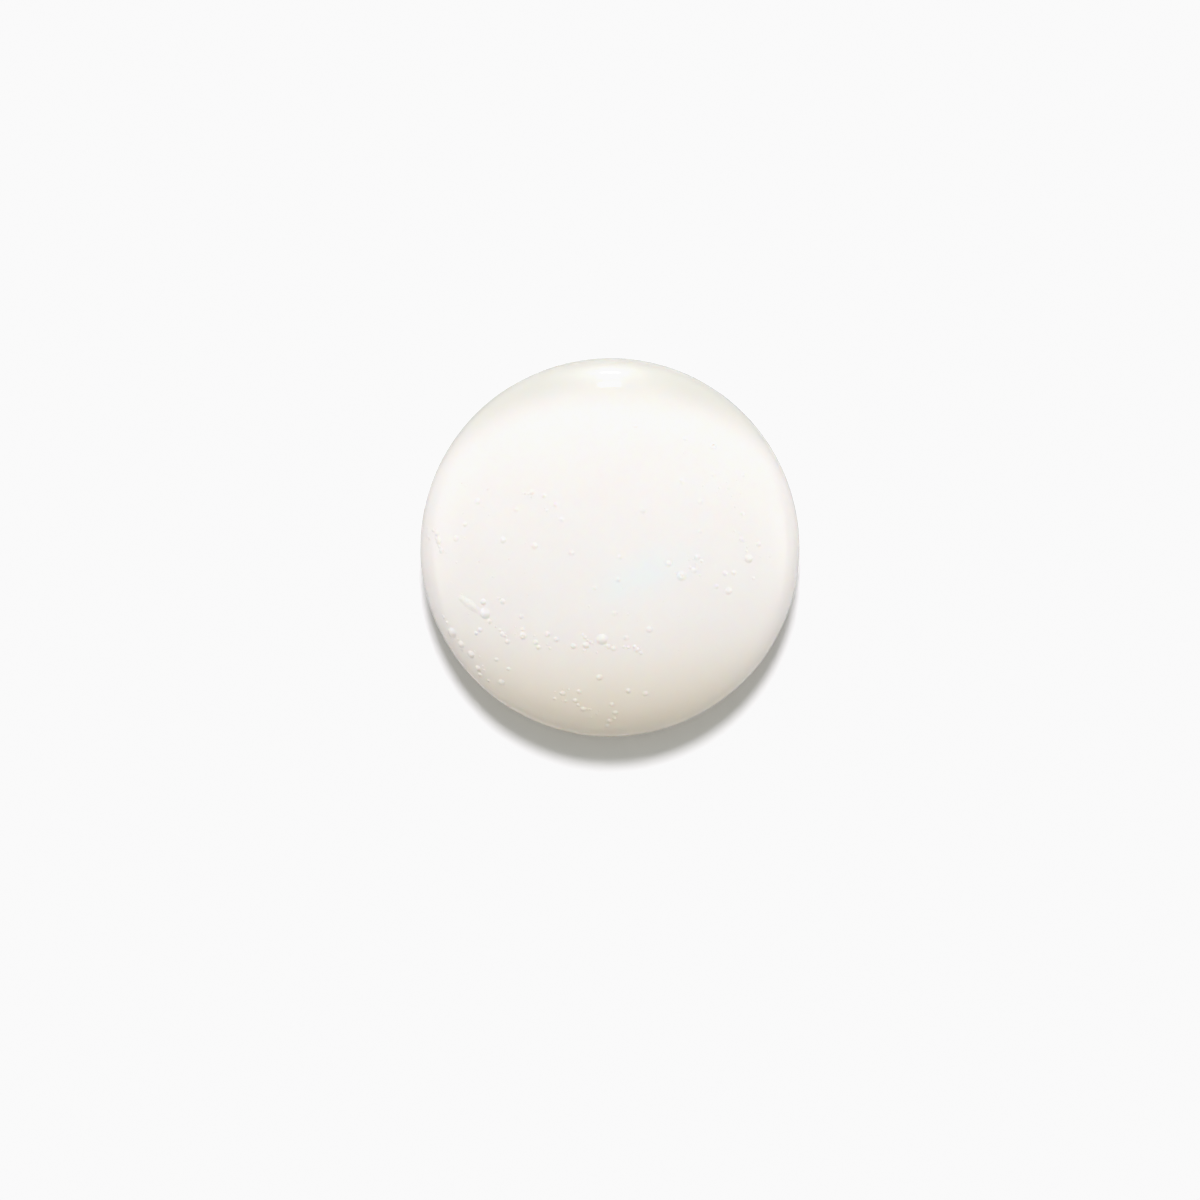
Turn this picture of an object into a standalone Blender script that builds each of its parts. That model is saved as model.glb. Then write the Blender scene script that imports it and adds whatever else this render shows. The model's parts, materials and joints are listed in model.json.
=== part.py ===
"""Shaving soap puck: one cast body with a domed top, a full round side and a flat underside.

Metres, +Z up. The puck stands on its underside, centred on the origin.
"""

import math

import bpy

# Driving dimensions, in metres
PUCK_DIAMETER = 0.065
PUCK_HEIGHT = 0.019
WIDEST_RING_HEIGHT = 0.0065  # the side is fullest here, below mid height
FOOT_DIAMETER = 0.050  # flat face that the puck rests on

# Exponents of the side's two curves: 2 gives an ellipse, and more gives a squarer shoulder
TOP_FULLNESS = 2.2
UNDERSIDE_FULLNESS = 2.3

# Facets
TOP_STEPS = 18
UNDERSIDE_STEPS = 8
ROUND_STEPS = 72
MERGE_DISTANCE = 0.00001

SOAP_COLOUR = (0.91, 0.87, 0.79, 1.0)
SOAP_ROUGHNESS = 0.22


def clear_scene():
    for old in list(bpy.data.objects):
        bpy.data.objects.remove(old, do_unlink=True)


def quarter_curve(steps, fullness):
    """Points of a quarter superellipse of unit size, from its tip on the axis to its widest point."""
    points = []
    for step in range(steps + 1):
        angle = math.pi / 2 * step / steps
        across = math.sin(angle) ** (2 / fullness)
        along = math.cos(angle) ** (2 / fullness) if step < steps else 0.0
        points.append((across, along))
    return points


def puck_profile():
    """Half of the puck's section as (radius, height) points, down its outer side from top to bottom."""
    widest_radius = PUCK_DIAMETER / 2
    foot_radius = FOOT_DIAMETER / 2
    dome_height = PUCK_HEIGHT - WIDEST_RING_HEIGHT
    profile = []
    for across, along in quarter_curve(TOP_STEPS, TOP_FULLNESS):
        profile.append((widest_radius * across, WIDEST_RING_HEIGHT + dome_height * along))
    turn_under = quarter_curve(UNDERSIDE_STEPS, UNDERSIDE_FULLNESS)
    for across, along in reversed(turn_under[:-1]):
        radius = foot_radius + (widest_radius - foot_radius) * across
        profile.append((radius, WIDEST_RING_HEIGHT * (1 - along)))
    profile.append((0.0, 0.0))
    return profile


def soap_material():
    material = bpy.data.materials.new("soap")
    material.use_nodes = True
    shader = material.node_tree.nodes["Principled BSDF"]
    shader.inputs["Base Color"].default_value = SOAP_COLOUR
    shader.inputs["Roughness"].default_value = SOAP_ROUGHNESS
    shader.inputs["Metallic"].default_value = 0.0
    material.diffuse_color = SOAP_COLOUR
    return material


def make_soap_puck():
    """The whole puck: its section turned about Z."""
    profile = puck_profile()
    points = [(radius, 0.0, height) for radius, height in profile]
    edges = [(index, index + 1) for index in range(len(points) - 1)]
    mesh = bpy.data.meshes.new("soap_puck")
    mesh.from_pydata(points, edges, [])
    mesh.materials.append(soap_material())
    puck = bpy.data.objects.new("soap_puck", mesh)
    bpy.context.scene.collection.objects.link(puck)

    turn = puck.modifiers.new("turn", "SCREW")
    turn.axis = "Z"
    turn.angle = 2 * math.pi
    turn.steps = ROUND_STEPS
    turn.render_steps = ROUND_STEPS
    turn.use_merge_vertices = True
    turn.merge_threshold = MERGE_DISTANCE
    turn.use_smooth_shade = True
    return puck


clear_scene()
make_soap_puck()
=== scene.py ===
import json
import math
import random

import bmesh
import bpy
import numpy as np
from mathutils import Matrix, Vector

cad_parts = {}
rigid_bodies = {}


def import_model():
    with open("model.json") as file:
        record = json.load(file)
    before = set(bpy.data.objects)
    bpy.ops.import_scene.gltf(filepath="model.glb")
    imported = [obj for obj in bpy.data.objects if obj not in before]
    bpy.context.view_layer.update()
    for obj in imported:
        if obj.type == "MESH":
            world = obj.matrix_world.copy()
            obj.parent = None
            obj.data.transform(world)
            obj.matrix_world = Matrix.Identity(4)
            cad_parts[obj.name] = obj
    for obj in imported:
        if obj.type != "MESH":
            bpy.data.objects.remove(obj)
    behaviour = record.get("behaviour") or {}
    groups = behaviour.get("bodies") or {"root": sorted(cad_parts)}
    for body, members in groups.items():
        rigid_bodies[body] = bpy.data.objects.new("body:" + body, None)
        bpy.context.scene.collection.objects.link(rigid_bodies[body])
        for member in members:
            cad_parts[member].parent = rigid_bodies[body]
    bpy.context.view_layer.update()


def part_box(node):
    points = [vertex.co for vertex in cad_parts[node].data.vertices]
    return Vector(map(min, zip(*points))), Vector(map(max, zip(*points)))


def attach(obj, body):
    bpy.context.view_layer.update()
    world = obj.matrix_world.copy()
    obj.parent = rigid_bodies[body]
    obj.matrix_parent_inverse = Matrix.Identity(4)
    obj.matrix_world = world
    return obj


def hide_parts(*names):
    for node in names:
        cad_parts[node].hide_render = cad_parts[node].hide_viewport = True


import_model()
nodeLow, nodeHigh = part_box("soap_puck")
mm = 0.001
print("frame loaded")


def deselectAll():
    for item in bpy.context.view_layer.objects:
        item.select_set(False)


def makeActive(item):
    deselectAll()
    item.select_set(True)
    bpy.context.view_layer.objects.active = item


def selectFaces(item, chosen):
    # chosen holds one true or false for each face
    bpy.ops.object.mode_set(mode="EDIT")
    bpy.ops.mesh.select_mode(type="FACE")
    bpy.ops.mesh.select_all(action="DESELECT")
    bpy.ops.object.mode_set(mode="OBJECT")
    item.data.polygons.foreach_set("select", chosen)
    bpy.ops.object.mode_set(mode="EDIT")


def readPoints(item):
    points = np.empty(len(item.data.vertices) * 3, np.float32)
    item.data.vertices.foreach_get("co", points)
    return points.reshape(-1, 3).astype(float)


def writePoints(item, points):
    item.data.vertices.foreach_set("co", points.astype(np.float32).ravel())
    item.data.update()


form = {
    "radius": (nodeHigh.x - nodeLow.x) / 2,
    "height": nodeHigh.z,
    "widestShare": 0.342,      # share of the height where the side is fullest
    "topFullness": 2.2,        # 2 makes the top half an ellipse, more is squarer
    "undersideFullness": 2.3,
    "footRadius": 0.77,        # share of the radius that rests on the table
    "footStartsAt": 50,        # degrees below the middle of the starting ball
    "cuts": 63,                # grid of each side of the starting block
    # rings of halved faces round each bubble, as faces of the starting grid past its reach
    "bubbleRings": [1.2, 0.6, 0.3],
    "smallBubble": 0.36 * mm,  # under this radius a bubble gets one ring more
    "smallRing": 0.1,
    "ringShare": 1.35,         # reach of every ring as a share of the bubble's radius
}
widestHeight = form["height"] * form["widestShare"]


def topSection(angles):
    # radius and height of the top's section at angles in degrees up the ball
    up = np.radians(angles)
    power = 2 / form["topFullness"]
    radius = form["radius"] * np.cos(up) ** power
    return radius, widestHeight + (form["height"] - widestHeight) * np.sin(up) ** power


def lowerSection(angles):
    # radius and height of the turn under and the flat foot at angles in degrees down the ball
    foot = form["radius"] * form["footRadius"]
    bend = np.clip(angles / form["footStartsAt"], 0, 1) * math.pi / 2
    power = 2 / form["undersideFullness"]
    underRadius = foot + (form["radius"] - foot) * np.maximum(np.cos(bend), 0) ** power
    underHeight = widestHeight * (1 - np.sin(bend) ** power)
    footRadius = foot * (90 - angles) / (90 - form["footStartsAt"])
    onFoot = angles > form["footStartsAt"]
    return np.where(onFoot, footRadius, underRadius), np.where(onFoot, 0, underHeight)


def puckSurface(directions):
    # moves points of a unit ball onto the puck's form
    across = np.hypot(directions[:, 0], directions[:, 1])
    turn = directions[:, :2] / np.maximum(across, 1e-9)[:, None]
    angles = np.degrees(np.arctan2(directions[:, 2], across))
    topRadius, topHeight = topSection(np.maximum(angles, 0))
    lowRadius, lowHeight = lowerSection(np.maximum(-angles, 0))
    isTop = angles >= 0
    radius = np.where(isTop, topRadius, lowRadius)
    height = np.where(isTop, topHeight, lowHeight)
    return np.column_stack([turn * radius[:, None], height])


sectionAngles = np.linspace(90, 0, 901)
sectionRadii = topSection(sectionAngles)[0]


def directionOf(x, y):
    # the ball direction that lands at this place of the puck's top
    reach = math.hypot(x, y)
    angle = math.radians(np.interp(reach, sectionRadii, sectionAngles))
    return (x / reach * math.cos(angle), y / reach * math.cos(angle), math.sin(angle))


# air bubbles under the skin, each one a small raised blister: x runs right and y to the back
bubbles = {
    "seed": 7,                 # draws the tiny ones
    "rise": 0.33,              # height of a blister as a share of its radius
    "growth": 1.3,             # size of all of them
    "spacing": 0.9,            # nearest that a tiny one may come, as a share of both radii
    "rimShare": 0.965,         # share of the puck's radius that tiny ones stay inside
    "sizeSpread": 1.8,         # 1 draws all sizes alike, more draws mostly small ones
    "foldTaper": 0.35,         # how much smaller the fold is at its ends
    # x, y and radius in millimetres: the ones that stand out
    "placed": [
        (-26.9, -14.5, 0.74), (-25.3, -16.5, 0.54), (-23.6, -18.2, 0.56), (-22.4, -20.6, 0.46),
        (-22.1, -21.7, 0.38), (-21.1, -11.1, 0.74), (-20.4, -12.5, 0.34), (-22.7, -14.5, 0.30),
        (-14.7, -14.9, 0.48), (-18.2, -14.6, 0.34), (-17.3, -15.9, 0.34), (-10.6, -14.6, 0.40),
        (-9.1, -15.5, 0.36), (-12.6, -16.0, 0.36), (-6.2, -16.6, 0.40), (-4.0, -16.4, 0.44),
        (-1.3, -15.4, 0.72), (0.6, -17.0, 0.36), (2.7, -15.2, 0.34), (4.5, -17.2, 0.38),
        (6.6, -13.8, 0.42), (-1.8, -21.9, 0.44), (3.1, -24.2, 0.38), (6.0, -24.7, 0.38),
        (0.3, -26.6, 0.34), (0.9, -28.0, 0.38), (-0.1, -29.4, 0.34), (-5.9, -25.9, 0.36),
        (12.0, -4.8, 0.62), (14.1, -3.8, 0.40), (9.8, -2.8, 0.40), (14.6, -1.6, 0.40),
        (23.4, -1.9, 0.58), (22.2, 1.4, 0.36), (25.1, 0.6, 0.40), (20.0, -7.3, 0.50),
        (18.0, -6.6, 0.32), (19.4, -4.3, 0.36), (20.9, -4.2, 0.34), (-22.3, 7.8, 0.44),
        (-18.0, 1.3, 0.42), (-12.7, 0.3, 0.44), (-13.2, 9.3, 0.36), (-11.1, 8.7, 0.32),
        (-9.1, 7.2, 0.34), (-8.1, 4.7, 0.34), (-6.5, -0.9, 0.36), (-29.1, 1.1, 0.48),
        (-29.4, 2.4, 0.40), (-26.0, 1.5, 0.40), (-28.6, -0.6, 0.36), (1.7, -1.7, 0.30),
        (1.3, -5.4, 0.34), (5.6, 6.1, 0.32), (12.1, 11.1, 0.36), (15.2, 7.7, 0.32),
        (15.1, 2.7, 0.30), (17.4, 17.1, 0.50), (12.8, 18.3, 0.30), (4.3, 20.4, 0.28),
        (22.4, 5.7, 0.30), (17.5, 12.2, 0.28), (22.6, 12.3, 0.28), (-2.6, -6.8, 0.28),
        (-18.1, -9.1, 0.38), (-21.4, -9.2, 0.42), (-22.0, -13.9, 0.34), (-15.0, -11.6, 0.32),
        (-12.1, -16.8, 0.34), (-18.4, -22.9, 0.46), (-19.2, -19.0, 0.32), (-17.2, -20.6, 0.30),
        (-0.2, -16.7, 0.34), (-8.0, -24.7, 0.38), (-5.2, -24.4, 0.34), (-4.5, -27.4, 0.40),
        (-0.5, -30.3, 0.34), (0.8, -11.0, 0.32), (-24.5, 3.9, 0.34), (-15.8, 6.4, 0.32),
    ],
    # a short fold in the skin beside the largest one, as a row of overlapping low blisters:
    # two ends, how many, radius and rise of the middle one
    "fold": ((-25.2, -8.6), (-22.4, -10.6), 7, 0.90, 0.10),
    # burst ones: x, y, radius and depth of the dimple
    "dimples": [(17.4, 17.1, 0.34, 0.30), (12.0, -4.8, 0.30, 0.16), (-14.7, -14.9, 0.22, 0.12)],
    # bands of tiny ones: two ends, width, how many, smallest and largest radius, all in millimetres
    "bands": [
        ((-31.0, 3.5), (-27.0, -3.0), 1.2, 12, 0.14, 0.28),
        ((-29.5, -11.0), (-20.0, -22.5), 1.3, 20, 0.14, 0.30),
        ((-19.5, -13.8), (-9.0, -16.2), 1.3, 14, 0.12, 0.26),
        ((-7.0, -15.6), (6.0, -17.2), 1.2, 18, 0.12, 0.28),
        ((-9.5, -24.0), (1.5, -29.5), 1.6, 16, 0.12, 0.28),
        ((-15.0, 9.8), (-7.5, 4.0), 1.2, 9, 0.12, 0.24),
        ((8.5, -2.2), (25.5, -5.0), 2.2, 16, 0.12, 0.26),
        ((21.0, 2.5), (26.5, -2.5), 1.4, 8, 0.12, 0.24),
        ((10.0, 19.0), (24.0, 6.0), 3.0, 12, 0.12, 0.22),
        ((-24.0, -6.0), (16.0, -12.0), 5.5, 22, 0.11, 0.20),
        ((-28.0, 12.0), (-15.0, -2.0), 4.5, 14, 0.11, 0.20),
    ],
}


def listBubbles():
    # x, y and radius in millimetres of the placed and the scattered ones
    drawn = random.Random(bubbles["seed"])
    found = list(bubbles["placed"])
    for start, end, width, count, smallest, largest in bubbles["bands"]:
        for _ in range(count):
            along = drawn.random()
            x = start[0] + (end[0] - start[0]) * along + drawn.gauss(0, width / 2)
            y = start[1] + (end[1] - start[1]) * along + drawn.gauss(0, width / 2)
            size = smallest + (largest - smallest) * drawn.random() ** bubbles["sizeSpread"]
            clear = all(
                math.hypot(x - otherX, y - otherY) > bubbles["spacing"] * (size + otherSize)
                for otherX, otherY, otherSize in found
            )
            if clear and math.hypot(x, y) * mm < bubbles["rimShare"] * form["radius"]:
                found.append((x, y, size))
    return [(x, y, size * bubbles["growth"]) for x, y, size in found]


def listFold():
    # x, y, radius and rise in millimetres along the fold
    start, end, count, size, rise = bubbles["fold"]
    found = []
    for step in range(count):
        along = step / (count - 1)
        x = start[0] + (end[0] - start[0]) * along
        y = start[1] + (end[1] - start[1]) * along
        share = 1 - bubbles["foldTaper"] * abs(2 * along - 1)
        found.append((x, y, size * share, rise * share))
    return found


def refineAround(item, spots, margin):
    # halves the faces near each spot, so that a small blister has enough of them
    centres = np.empty(len(item.data.polygons) * 3, np.float32)
    item.data.polygons.foreach_get("center", centres)
    centres = centres.reshape(-1, 3)
    chosen = np.zeros(len(centres), bool)
    for direction, size in spots:
        reach = size * form["ringShare"] / form["radius"] + margin
        chosen |= np.linalg.norm(centres - np.array(direction), axis=1) < reach
    selectFaces(item, chosen)
    bpy.ops.mesh.subdivide(number_cuts=1)
    bpy.ops.object.mode_set(mode="OBJECT")


def raiseBlisters(item, blisters):
    # pulls each blister out of the skin with proportional editing, or pushes a dimple in
    points = readPoints(item)
    nearest = []
    for place, size, rise in blisters:
        nearest.append(int(np.argmin(np.sum((points - place) ** 2, axis=1))))
    bpy.ops.object.mode_set(mode="EDIT")
    bpy.ops.mesh.select_mode(type="VERT")
    bpy.ops.mesh.select_all(action="DESELECT")
    skin = bmesh.from_edit_mesh(item.data)
    skin.verts.ensure_lookup_table()
    for index, (place, size, rise) in zip(nearest, blisters):
        peak = skin.verts[index]
        peak.select_set(True)
        bpy.ops.transform.translate(
            value=peak.normal * rise,
            use_proportional_edit=True,
            proportional_edit_falloff="INVERSE_SQUARE",
            proportional_size=size,
        )
        peak.select_set(False)
    bpy.ops.object.mode_set(mode="OBJECT")


# gentle unevenness of the cast skin: name, size of the waves and how far they rise, in millimetres
skinWaves = [
    ("broad_wave", 16.0, 0.16),
    ("small_wave", 4.5, 0.03),
]
wavesStart = 1.0 * mm  # height over the table where the waves begin
wavesFull = 5.0 * mm   # height where they have their full rise


def addWaves(item):
    # leaves the flat foot as it is
    points = readPoints(item)
    group = item.vertex_groups.new(name="above_foot")
    rises = np.clip((points[:, 2] - wavesStart) / (wavesFull - wavesStart), 0, 1)
    for index, weight in enumerate(rises):
        if weight > 0:
            group.add([index], float(weight), "REPLACE")
    for name, size, rise in skinWaves:
        pattern = bpy.data.textures.new(name, "CLOUDS")
        pattern.noise_scale = size * mm
        pattern.noise_depth = 1
        wave = item.modifiers.new(name, "DISPLACE")
        wave.texture = pattern
        wave.texture_coords = "LOCAL"
        wave.vertex_group = "above_foot"
        wave.mid_level = 0.5
        wave.strength = rise * mm
        bpy.ops.object.modifier_apply(modifier=name)
    item.vertex_groups.clear()


def makePuck(material):
    # a block is rounded to a ball, and the ball is moved onto the puck's form
    deselectAll()
    bpy.ops.mesh.primitive_cube_add(size=2)
    puck = bpy.context.object
    puck.name = "soap_body"
    makeActive(puck)
    bpy.ops.object.mode_set(mode="EDIT")
    bpy.ops.mesh.select_all(action="SELECT")
    bpy.ops.mesh.subdivide(number_cuts=form["cuts"])
    bpy.ops.transform.tosphere(value=1)
    bpy.ops.object.mode_set(mode="OBJECT")
    points = readPoints(puck)
    writePoints(puck, points / np.linalg.norm(points, axis=1)[:, None])
    print("starting ball made")

    found = [(x, y, size, size * bubbles["rise"]) for x, y, size in listBubbles()] + listFold()
    spots = [(directionOf(x * mm, y * mm), size * mm) for x, y, size, _ in found]
    cell = math.pi / 2 / (form["cuts"] + 1)  # width of a face on the unit ball
    small = [spot for spot in spots if spot[1] < form["smallBubble"]]
    for ring in form["bubbleRings"]:
        refineAround(puck, spots, cell * ring)
    refineAround(puck, small, cell * form["smallRing"])
    print("skin refined round", len(found), "bubbles,", len(puck.data.polygons), "faces")

    points = readPoints(puck)
    writePoints(puck, puckSurface(points / np.linalg.norm(points, axis=1)[:, None]))
    addWaves(puck)
    found += [(x, y, size, -depth) for x, y, size, depth in bubbles["dimples"]]
    directions = [directionOf(x * mm, y * mm) for x, y, size, rise in found]
    places = puckSurface(np.array(directions))
    blisters = [(p, size * mm, rise * mm) for p, (x, y, size, rise) in zip(places, found)]
    raiseBlisters(puck, blisters)
    makeActive(puck)
    bpy.ops.object.shade_smooth()
    puck.data.materials.clear()
    puck.data.materials.append(material)
    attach(puck, "root")
    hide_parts("soap_puck")
    print("puck finished")


soap = {
    "cream": (0.935, 0.888, 0.85, 1),
    "ivory": (0.95, 0.912, 0.875, 1),
    "cloudScale": 42,                   # clouds of the two tones: higher is finer
    "cloudDetail": 3,
    "cloudSwirl": 1.2,
    "cloudEdges": (0.2, 0.8),
    "scatter": 0.5,                     # share of the light that goes in under the skin
    "scatterDepth": 3.5 * mm,
    "scatterColour": (1.0, 0.72, 0.46),
    "refraction": 1.46,
    "roughness": (0.40, 0.46),
    "roughnessScale": 260,
    "coat": 0.8,                        # the gloss of the skin
    "coatRoughness": 0.05,
    "grainScale": 900,
    "grainStrength": 0.25,
    "grainHeight": 0.02 * mm,
    # painted shade laid over the soap's colour where its sides fall in shade: direction that they
    # grow in, where along it they start and are strongest, share, colour
    "paintedShades": [
        # painted shade: the steep side is darker and greyer all round
        ((0, 0, -1), -14.5 * mm, -10.5 * mm, 0.8, (0.90, 0.86, 0.84, 1)),  # all round the side
        # painted shade: warmer and darker towards the front, the side turned away from the key
        ((0, -1, 0), 11 * mm, 32 * mm, 1.0, (0.90, 0.84, 0.72, 1)),        # warm towards the front
        # painted shade: darker and greyer at the back rim
        ((0, 1, -2), -11 * mm, 5 * mm, 1.0, (0.75, 0.74, 0.67, 1)),        # greyer at the back rim
    ],
    # a pale cool streak, a painted sheen across the top: its middle, half length, half width,
    # degrees of turn, share and colour
    "paintedSheen": ((6.0 * mm, -4.7 * mm), 14 * mm, 6.0 * mm, 24, 0.85, (0.88, 0.925, 0.91, 1)),
}


def newMaterial(name):
    material = bpy.data.materials.new(name)
    material.use_nodes = True
    return material, material.node_tree.nodes, material.node_tree.links


def addNoise(nodes, links, place, scale, detail):
    noise = nodes.new("ShaderNodeTexNoise")
    noise.inputs["Scale"].default_value = scale
    noise.inputs["Detail"].default_value = detail
    links.new(place, noise.inputs["Vector"])
    return noise


def easedShare(nodes, links, value, start, end, share):
    # nothing at start, growing softly to share at end
    reach = nodes.new("ShaderNodeMapRange")
    reach.interpolation_type = "SMOOTHSTEP"
    reach.inputs["From Min"].default_value = start
    reach.inputs["From Max"].default_value = end
    reach.inputs["To Max"].default_value = share
    links.new(value, reach.inputs["Value"])
    return reach.outputs["Result"]


def layColour(nodes, links, factor, below, above):
    # above is a fixed colour, and below is the socket that it is laid over
    mix = nodes.new("ShaderNodeMix")
    mix.data_type = "RGBA"
    mix.inputs["B"].default_value = above
    links.new(factor, mix.inputs["Factor"])
    links.new(below, mix.inputs["A"])
    return mix.outputs["Result"]


def cloudyTone(nodes, links, place):
    clouds = addNoise(nodes, links, place, soap["cloudScale"], soap["cloudDetail"])
    clouds.inputs["Distortion"].default_value = soap["cloudSwirl"]
    tones = nodes.new("ShaderNodeValToRGB")
    ends = zip(tones.color_ramp.elements, soap["cloudEdges"], (soap["cream"], soap["ivory"]))
    for end, position, colour in ends:
        end.position = position
        end.color = colour
    links.new(clouds.outputs["Fac"], tones.inputs["Fac"])
    return tones.outputs["Color"]


def addPaintedShade(nodes, links, place, colour):
    # lays each painted shade over the colour
    for direction, start, end, share, paintedTone in soap["paintedShades"]:
        along = nodes.new("ShaderNodeVectorMath")
        along.operation = "DOT_PRODUCT"
        along.inputs[1].default_value = direction
        links.new(place, along.inputs[0])
        factor = easedShare(nodes, links, along.outputs["Value"], start, end, share)
        colour = layColour(nodes, links, factor, colour, paintedTone)
    return colour


def addPaintedSheen(nodes, links, place, colour):
    # lays the painted sheen, a pale cool streak, over the colour
    middle, length, width, turn, share, paintedTone = soap["paintedSheen"]
    laid = nodes.new("ShaderNodeMapping")
    laid.vector_type = "TEXTURE"
    laid.inputs["Location"].default_value = (*middle, form["height"])
    laid.inputs["Rotation"].default_value = (0, 0, math.radians(turn))
    laid.inputs["Scale"].default_value = (length, width, form["height"])
    links.new(place, laid.inputs["Vector"])
    away = nodes.new("ShaderNodeVectorMath")
    away.operation = "LENGTH"
    links.new(laid.outputs["Vector"], away.inputs[0])
    factor = easedShare(nodes, links, away.outputs["Value"], 1, 0, share)
    return layColour(nodes, links, factor, colour, paintedTone)


def addGrain(nodes, links, place, shader):
    grain = addNoise(nodes, links, place, soap["grainScale"], 4)
    bump = nodes.new("ShaderNodeBump")
    bump.inputs["Strength"].default_value = soap["grainStrength"]
    bump.inputs["Distance"].default_value = soap["grainHeight"]
    links.new(grain.outputs["Fac"], bump.inputs["Height"])
    links.new(bump.outputs["Normal"], shader.inputs["Normal"])


def addPolish(nodes, links, place, shader):
    patches = addNoise(nodes, links, place, soap["roughnessScale"], 3)
    gloss = nodes.new("ShaderNodeMapRange")
    gloss.inputs["To Min"].default_value, gloss.inputs["To Max"].default_value = soap["roughness"]
    links.new(patches.outputs["Fac"], gloss.inputs["Value"])
    links.new(gloss.outputs["Result"], shader.inputs["Roughness"])


def soapMaterial():
    material, nodes, links = newMaterial("glossy_soap")
    shader = nodes["Principled BSDF"]
    place = nodes.new("ShaderNodeTexCoord").outputs["Object"]
    colour = cloudyTone(nodes, links, place)
    # painted shade on the sides, laid over the soap's clouds
    colour = addPaintedShade(nodes, links, place, colour)
    # painted sheen across the top
    colour = addPaintedSheen(nodes, links, place, colour)
    links.new(colour, shader.inputs["Base Color"])
    addPolish(nodes, links, place, shader)
    addGrain(nodes, links, place, shader)
    shader.inputs["Subsurface Weight"].default_value = soap["scatter"]
    shader.inputs["Subsurface Radius"].default_value = soap["scatterColour"]
    shader.inputs["Subsurface Scale"].default_value = soap["scatterDepth"]
    shader.inputs["IOR"].default_value = soap["refraction"]
    shader.inputs["Coat Weight"].default_value = soap["coat"]
    shader.inputs["Coat Roughness"].default_value = soap["coatRoughness"]
    return material


studio = {
    "tableColour": (0.955, 0.955, 0.955, 1),
    "tableBounce": (0.7, 0.7, 0.7, 1),  # what the table gives back to the soap
    "tableSize": 6.0,
    "tableDrop": 0.02 * mm,             # keeps the table off the foot
    "overhead": (0.45, 0.48, 0.47),     # soft light from above, strength in red, green and blue
    "sides": (2.1, 2.12, 1.95),         # low on the left and the right
    "sideNarrowness": 4,                # higher keeps that light closer to left and right
    "front": (0.25, 0.10, 0.0),         # low in front, warm
    "keyStrength": 2.5,
    "keyColour": (0.975, 0.955, 1.005),
    "keyElevation": 58,                 # degrees up, from straight behind
    "keyWidth": 12,                     # degrees across
    "lens": 100,                        # focal length in millimetres
    "frameWidth": 205.9 * mm,           # width that the camera sees at the widest ring
    "shift": (-0.0083, -0.0437),
    # how the picture rolls off near white: light in, light shown
    "rollOff": [(0.85, 0.85), (0.93, 0.922), (0.965, 0.953), (1.15, 0.958), (4.0, 1.0)],
}


def makeTable():
    deselectAll()
    bpy.ops.mesh.primitive_plane_add(size=studio["tableSize"], location=(0, 0, -studio["tableDrop"]))
    table = bpy.context.object
    table.name = "table_top"
    material, nodes, links = newMaterial("pale_table")
    shader = nodes["Principled BSDF"]
    ray = nodes.new("ShaderNodeLightPath")
    tone = nodes.new("ShaderNodeMix")
    tone.data_type = "RGBA"
    tone.inputs["A"].default_value = studio["tableBounce"]
    tone.inputs["B"].default_value = studio["tableColour"]
    links.new(ray.outputs["Is Camera Ray"], tone.inputs["Factor"])
    links.new(tone.outputs["Result"], shader.inputs["Base Color"])
    shader.inputs["Roughness"].default_value = 1
    shader.inputs["Specular IOR Level"].default_value = 0
    table.data.materials.append(material)


def makeAir():
    # light from all round: it depends only on the direction that it comes from
    world = bpy.data.worlds.new("studio_air")
    bpy.context.scene.world = world
    world.use_nodes = True
    nodes, links = world.node_tree.nodes, world.node_tree.links

    def combine(operation, first, second):
        node = nodes.new("ShaderNodeMath")
        node.operation = operation
        for socket, value in zip(node.inputs, (first, second)):
            if isinstance(value, (int, float)):
                socket.default_value = value
            else:
                links.new(value, socket)
        return node.outputs["Value"]

    def tinted(amount, colour):
        node = nodes.new("ShaderNodeVectorMath")
        node.operation = "SCALE"
        node.inputs["Vector"].default_value = colour
        links.new(amount, node.inputs["Scale"])
        return node.outputs["Vector"]

    def together(first, second):
        node = nodes.new("ShaderNodeVectorMath")
        node.operation = "ADD"
        links.new(first, node.inputs[0])
        links.new(second, node.inputs[1])
        return node.outputs["Vector"]

    direction = nodes.new("ShaderNodeTexCoord")
    parts = nodes.new("ShaderNodeSeparateXYZ")
    links.new(direction.outputs["Generated"], parts.inputs["Vector"])
    up = combine("MAXIMUM", parts.outputs["Z"], 0)
    low = combine("SUBTRACT", 1, up)
    sideways = combine("ABSOLUTE", parts.outputs["X"], 0)
    forward = combine("MINIMUM", parts.outputs["Y"], 0)
    overhead = combine("MULTIPLY", up, up)
    sides = combine("MULTIPLY", combine("POWER", sideways, studio["sideNarrowness"]), low)
    front = combine("MULTIPLY", combine("MULTIPLY", forward, forward), low)
    air = together(tinted(overhead, studio["overhead"]), tinted(sides, studio["sides"]))
    air = together(air, tinted(front, studio["front"]))
    fill = nodes["Background"]
    fill.inputs["Strength"].default_value = 1
    links.new(air, fill.inputs["Color"])

    wall = nodes.new("ShaderNodeBackground")
    wall.inputs["Color"].default_value = studio["tableColour"]
    ray = nodes.new("ShaderNodeLightPath")
    both = nodes.new("ShaderNodeMixShader")
    links.new(ray.outputs["Is Camera Ray"], both.inputs["Fac"])
    links.new(fill.outputs["Background"], both.inputs[1])
    links.new(wall.outputs["Background"], both.inputs[2])
    links.new(both.outputs["Shader"], nodes["World Output"].inputs["Surface"])


def aimedRotation(place, target):
    return (Vector(target) - Vector(place)).to_track_quat("-Z", "Y").to_euler()


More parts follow.
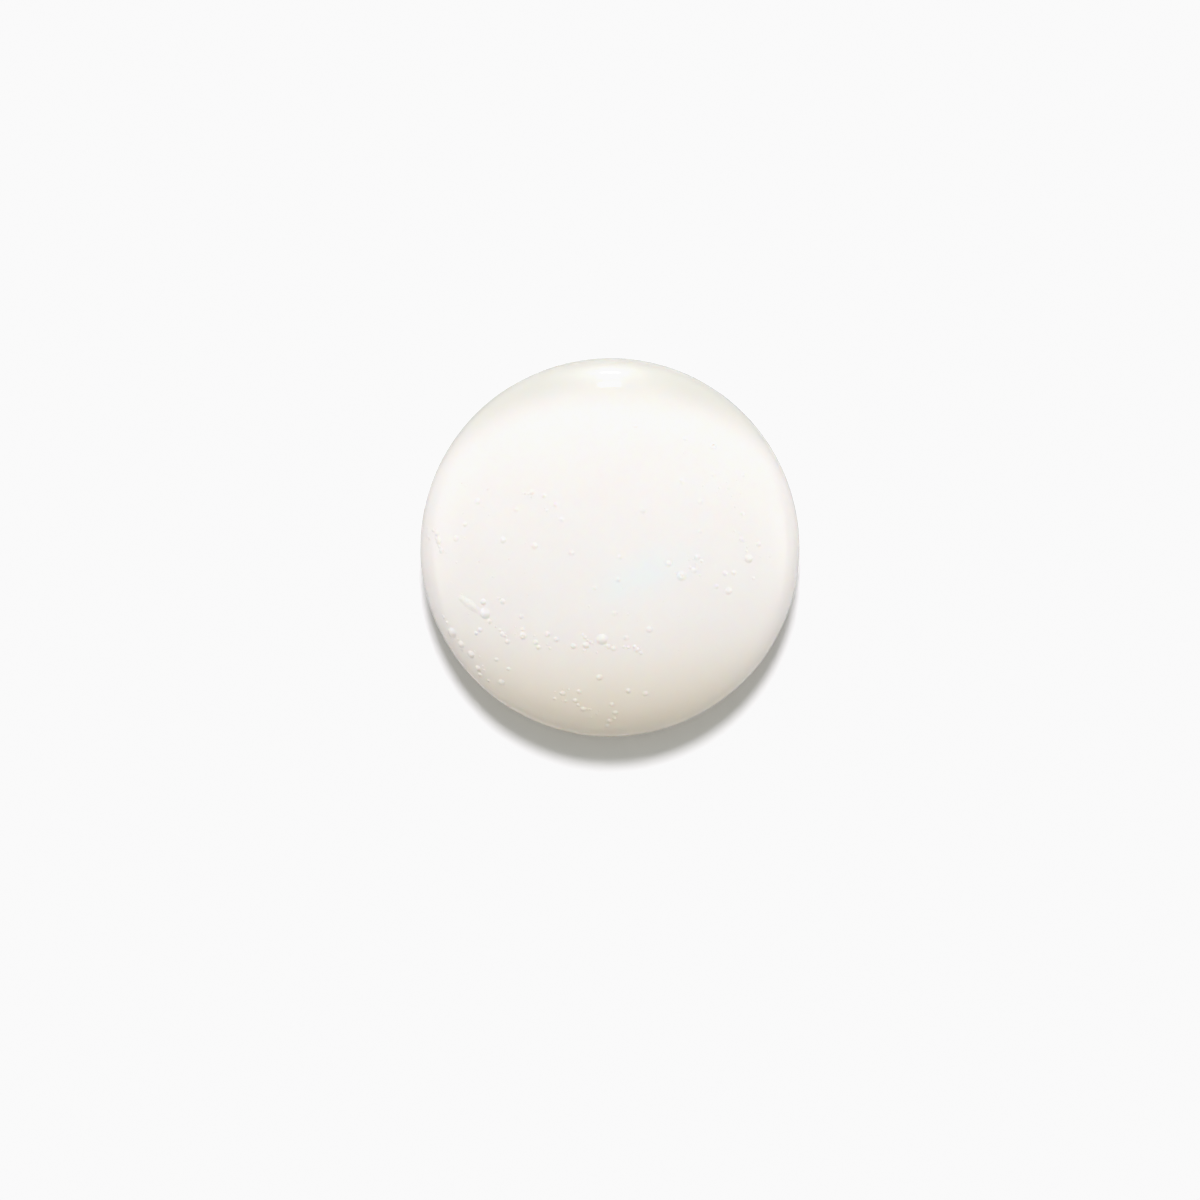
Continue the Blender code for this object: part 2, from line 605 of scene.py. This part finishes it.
def makeKey():
    lamp = bpy.data.lights.new("key", "SUN")
    lamp.energy = studio["keyStrength"]
    lamp.color = studio["keyColour"]
    lamp.angle = math.radians(studio["keyWidth"])
    key = bpy.data.objects.new("key", lamp)
    bpy.context.scene.collection.objects.link(key)
    up = math.radians(studio["keyElevation"])
    key.location = (0, math.cos(up), math.sin(up))
    key.rotation_euler = aimedRotation(key.location, (0, 0, 0))
    key.visible_glossy = False  # the panels make the highlights


# panels straight behind, seen only in the gloss, that give the small lights at the back rim:
# name, degrees up, height in metres, strength
panels = [
    ("rim_strip", 4.5, 0.08, 6.5),
    ("middle_strip", 13.0, 0.18, 0.10),
    ("shoulder_strip", 24.0, 0.12, 0.45),
]
panelDistance = 1.0
panelWidth = 0.12
panelTarget = (0, 0, 0.01)


def makePanels():
    for name, elevation, height, strength in panels:
        lamp = bpy.data.lights.new(name, "AREA")
        lamp.shape = "RECTANGLE"
        lamp.size = panelWidth
        lamp.size_y = height
        lamp.energy = strength
        panel = bpy.data.objects.new(name, lamp)
        bpy.context.scene.collection.objects.link(panel)
        up = math.radians(elevation)
        panel.location = (0, panelDistance * math.cos(up), panelDistance * math.sin(up))
        panel.rotation_euler = aimedRotation(panel.location, panelTarget)
        panel.visible_diffuse = False
        panel.visible_transmission = False


def makeCamera():
    lens = bpy.data.cameras.new("overhead")
    lens.lens = studio["lens"]
    lens.shift_x, lens.shift_y = studio["shift"]
    lens.clip_start = 10 * mm
    camera = bpy.data.objects.new("overhead", lens)
    bpy.context.scene.collection.objects.link(camera)
    distance = studio["frameWidth"] * studio["lens"] / lens.sensor_width
    camera.location = (0, 0, widestHeight + distance)
    bpy.context.scene.camera = camera


def setPictureTone():
    # rolls the lightest tones off, so that the table is one even white
    view = bpy.context.scene.view_settings
    view.view_transform = "Standard"
    view.use_curve_mapping = True
    mapping = view.curve_mapping
    mapping.clip_max_x = studio["rollOff"][-1][0]
    tone = mapping.curves[3]  # the one for red, green and blue together
    tone.points[1].location = studio["rollOff"][-1]
    for place in studio["rollOff"][:-1]:
        tone.points.new(*place)
    for point in tone.points:
        point.handle_type = "VECTOR"
    mapping.update()


makeTable()
makeAir()
makeKey()
makePanels()
makeCamera()
setPictureTone()
print("studio ready")

makePuck(soapMaterial())
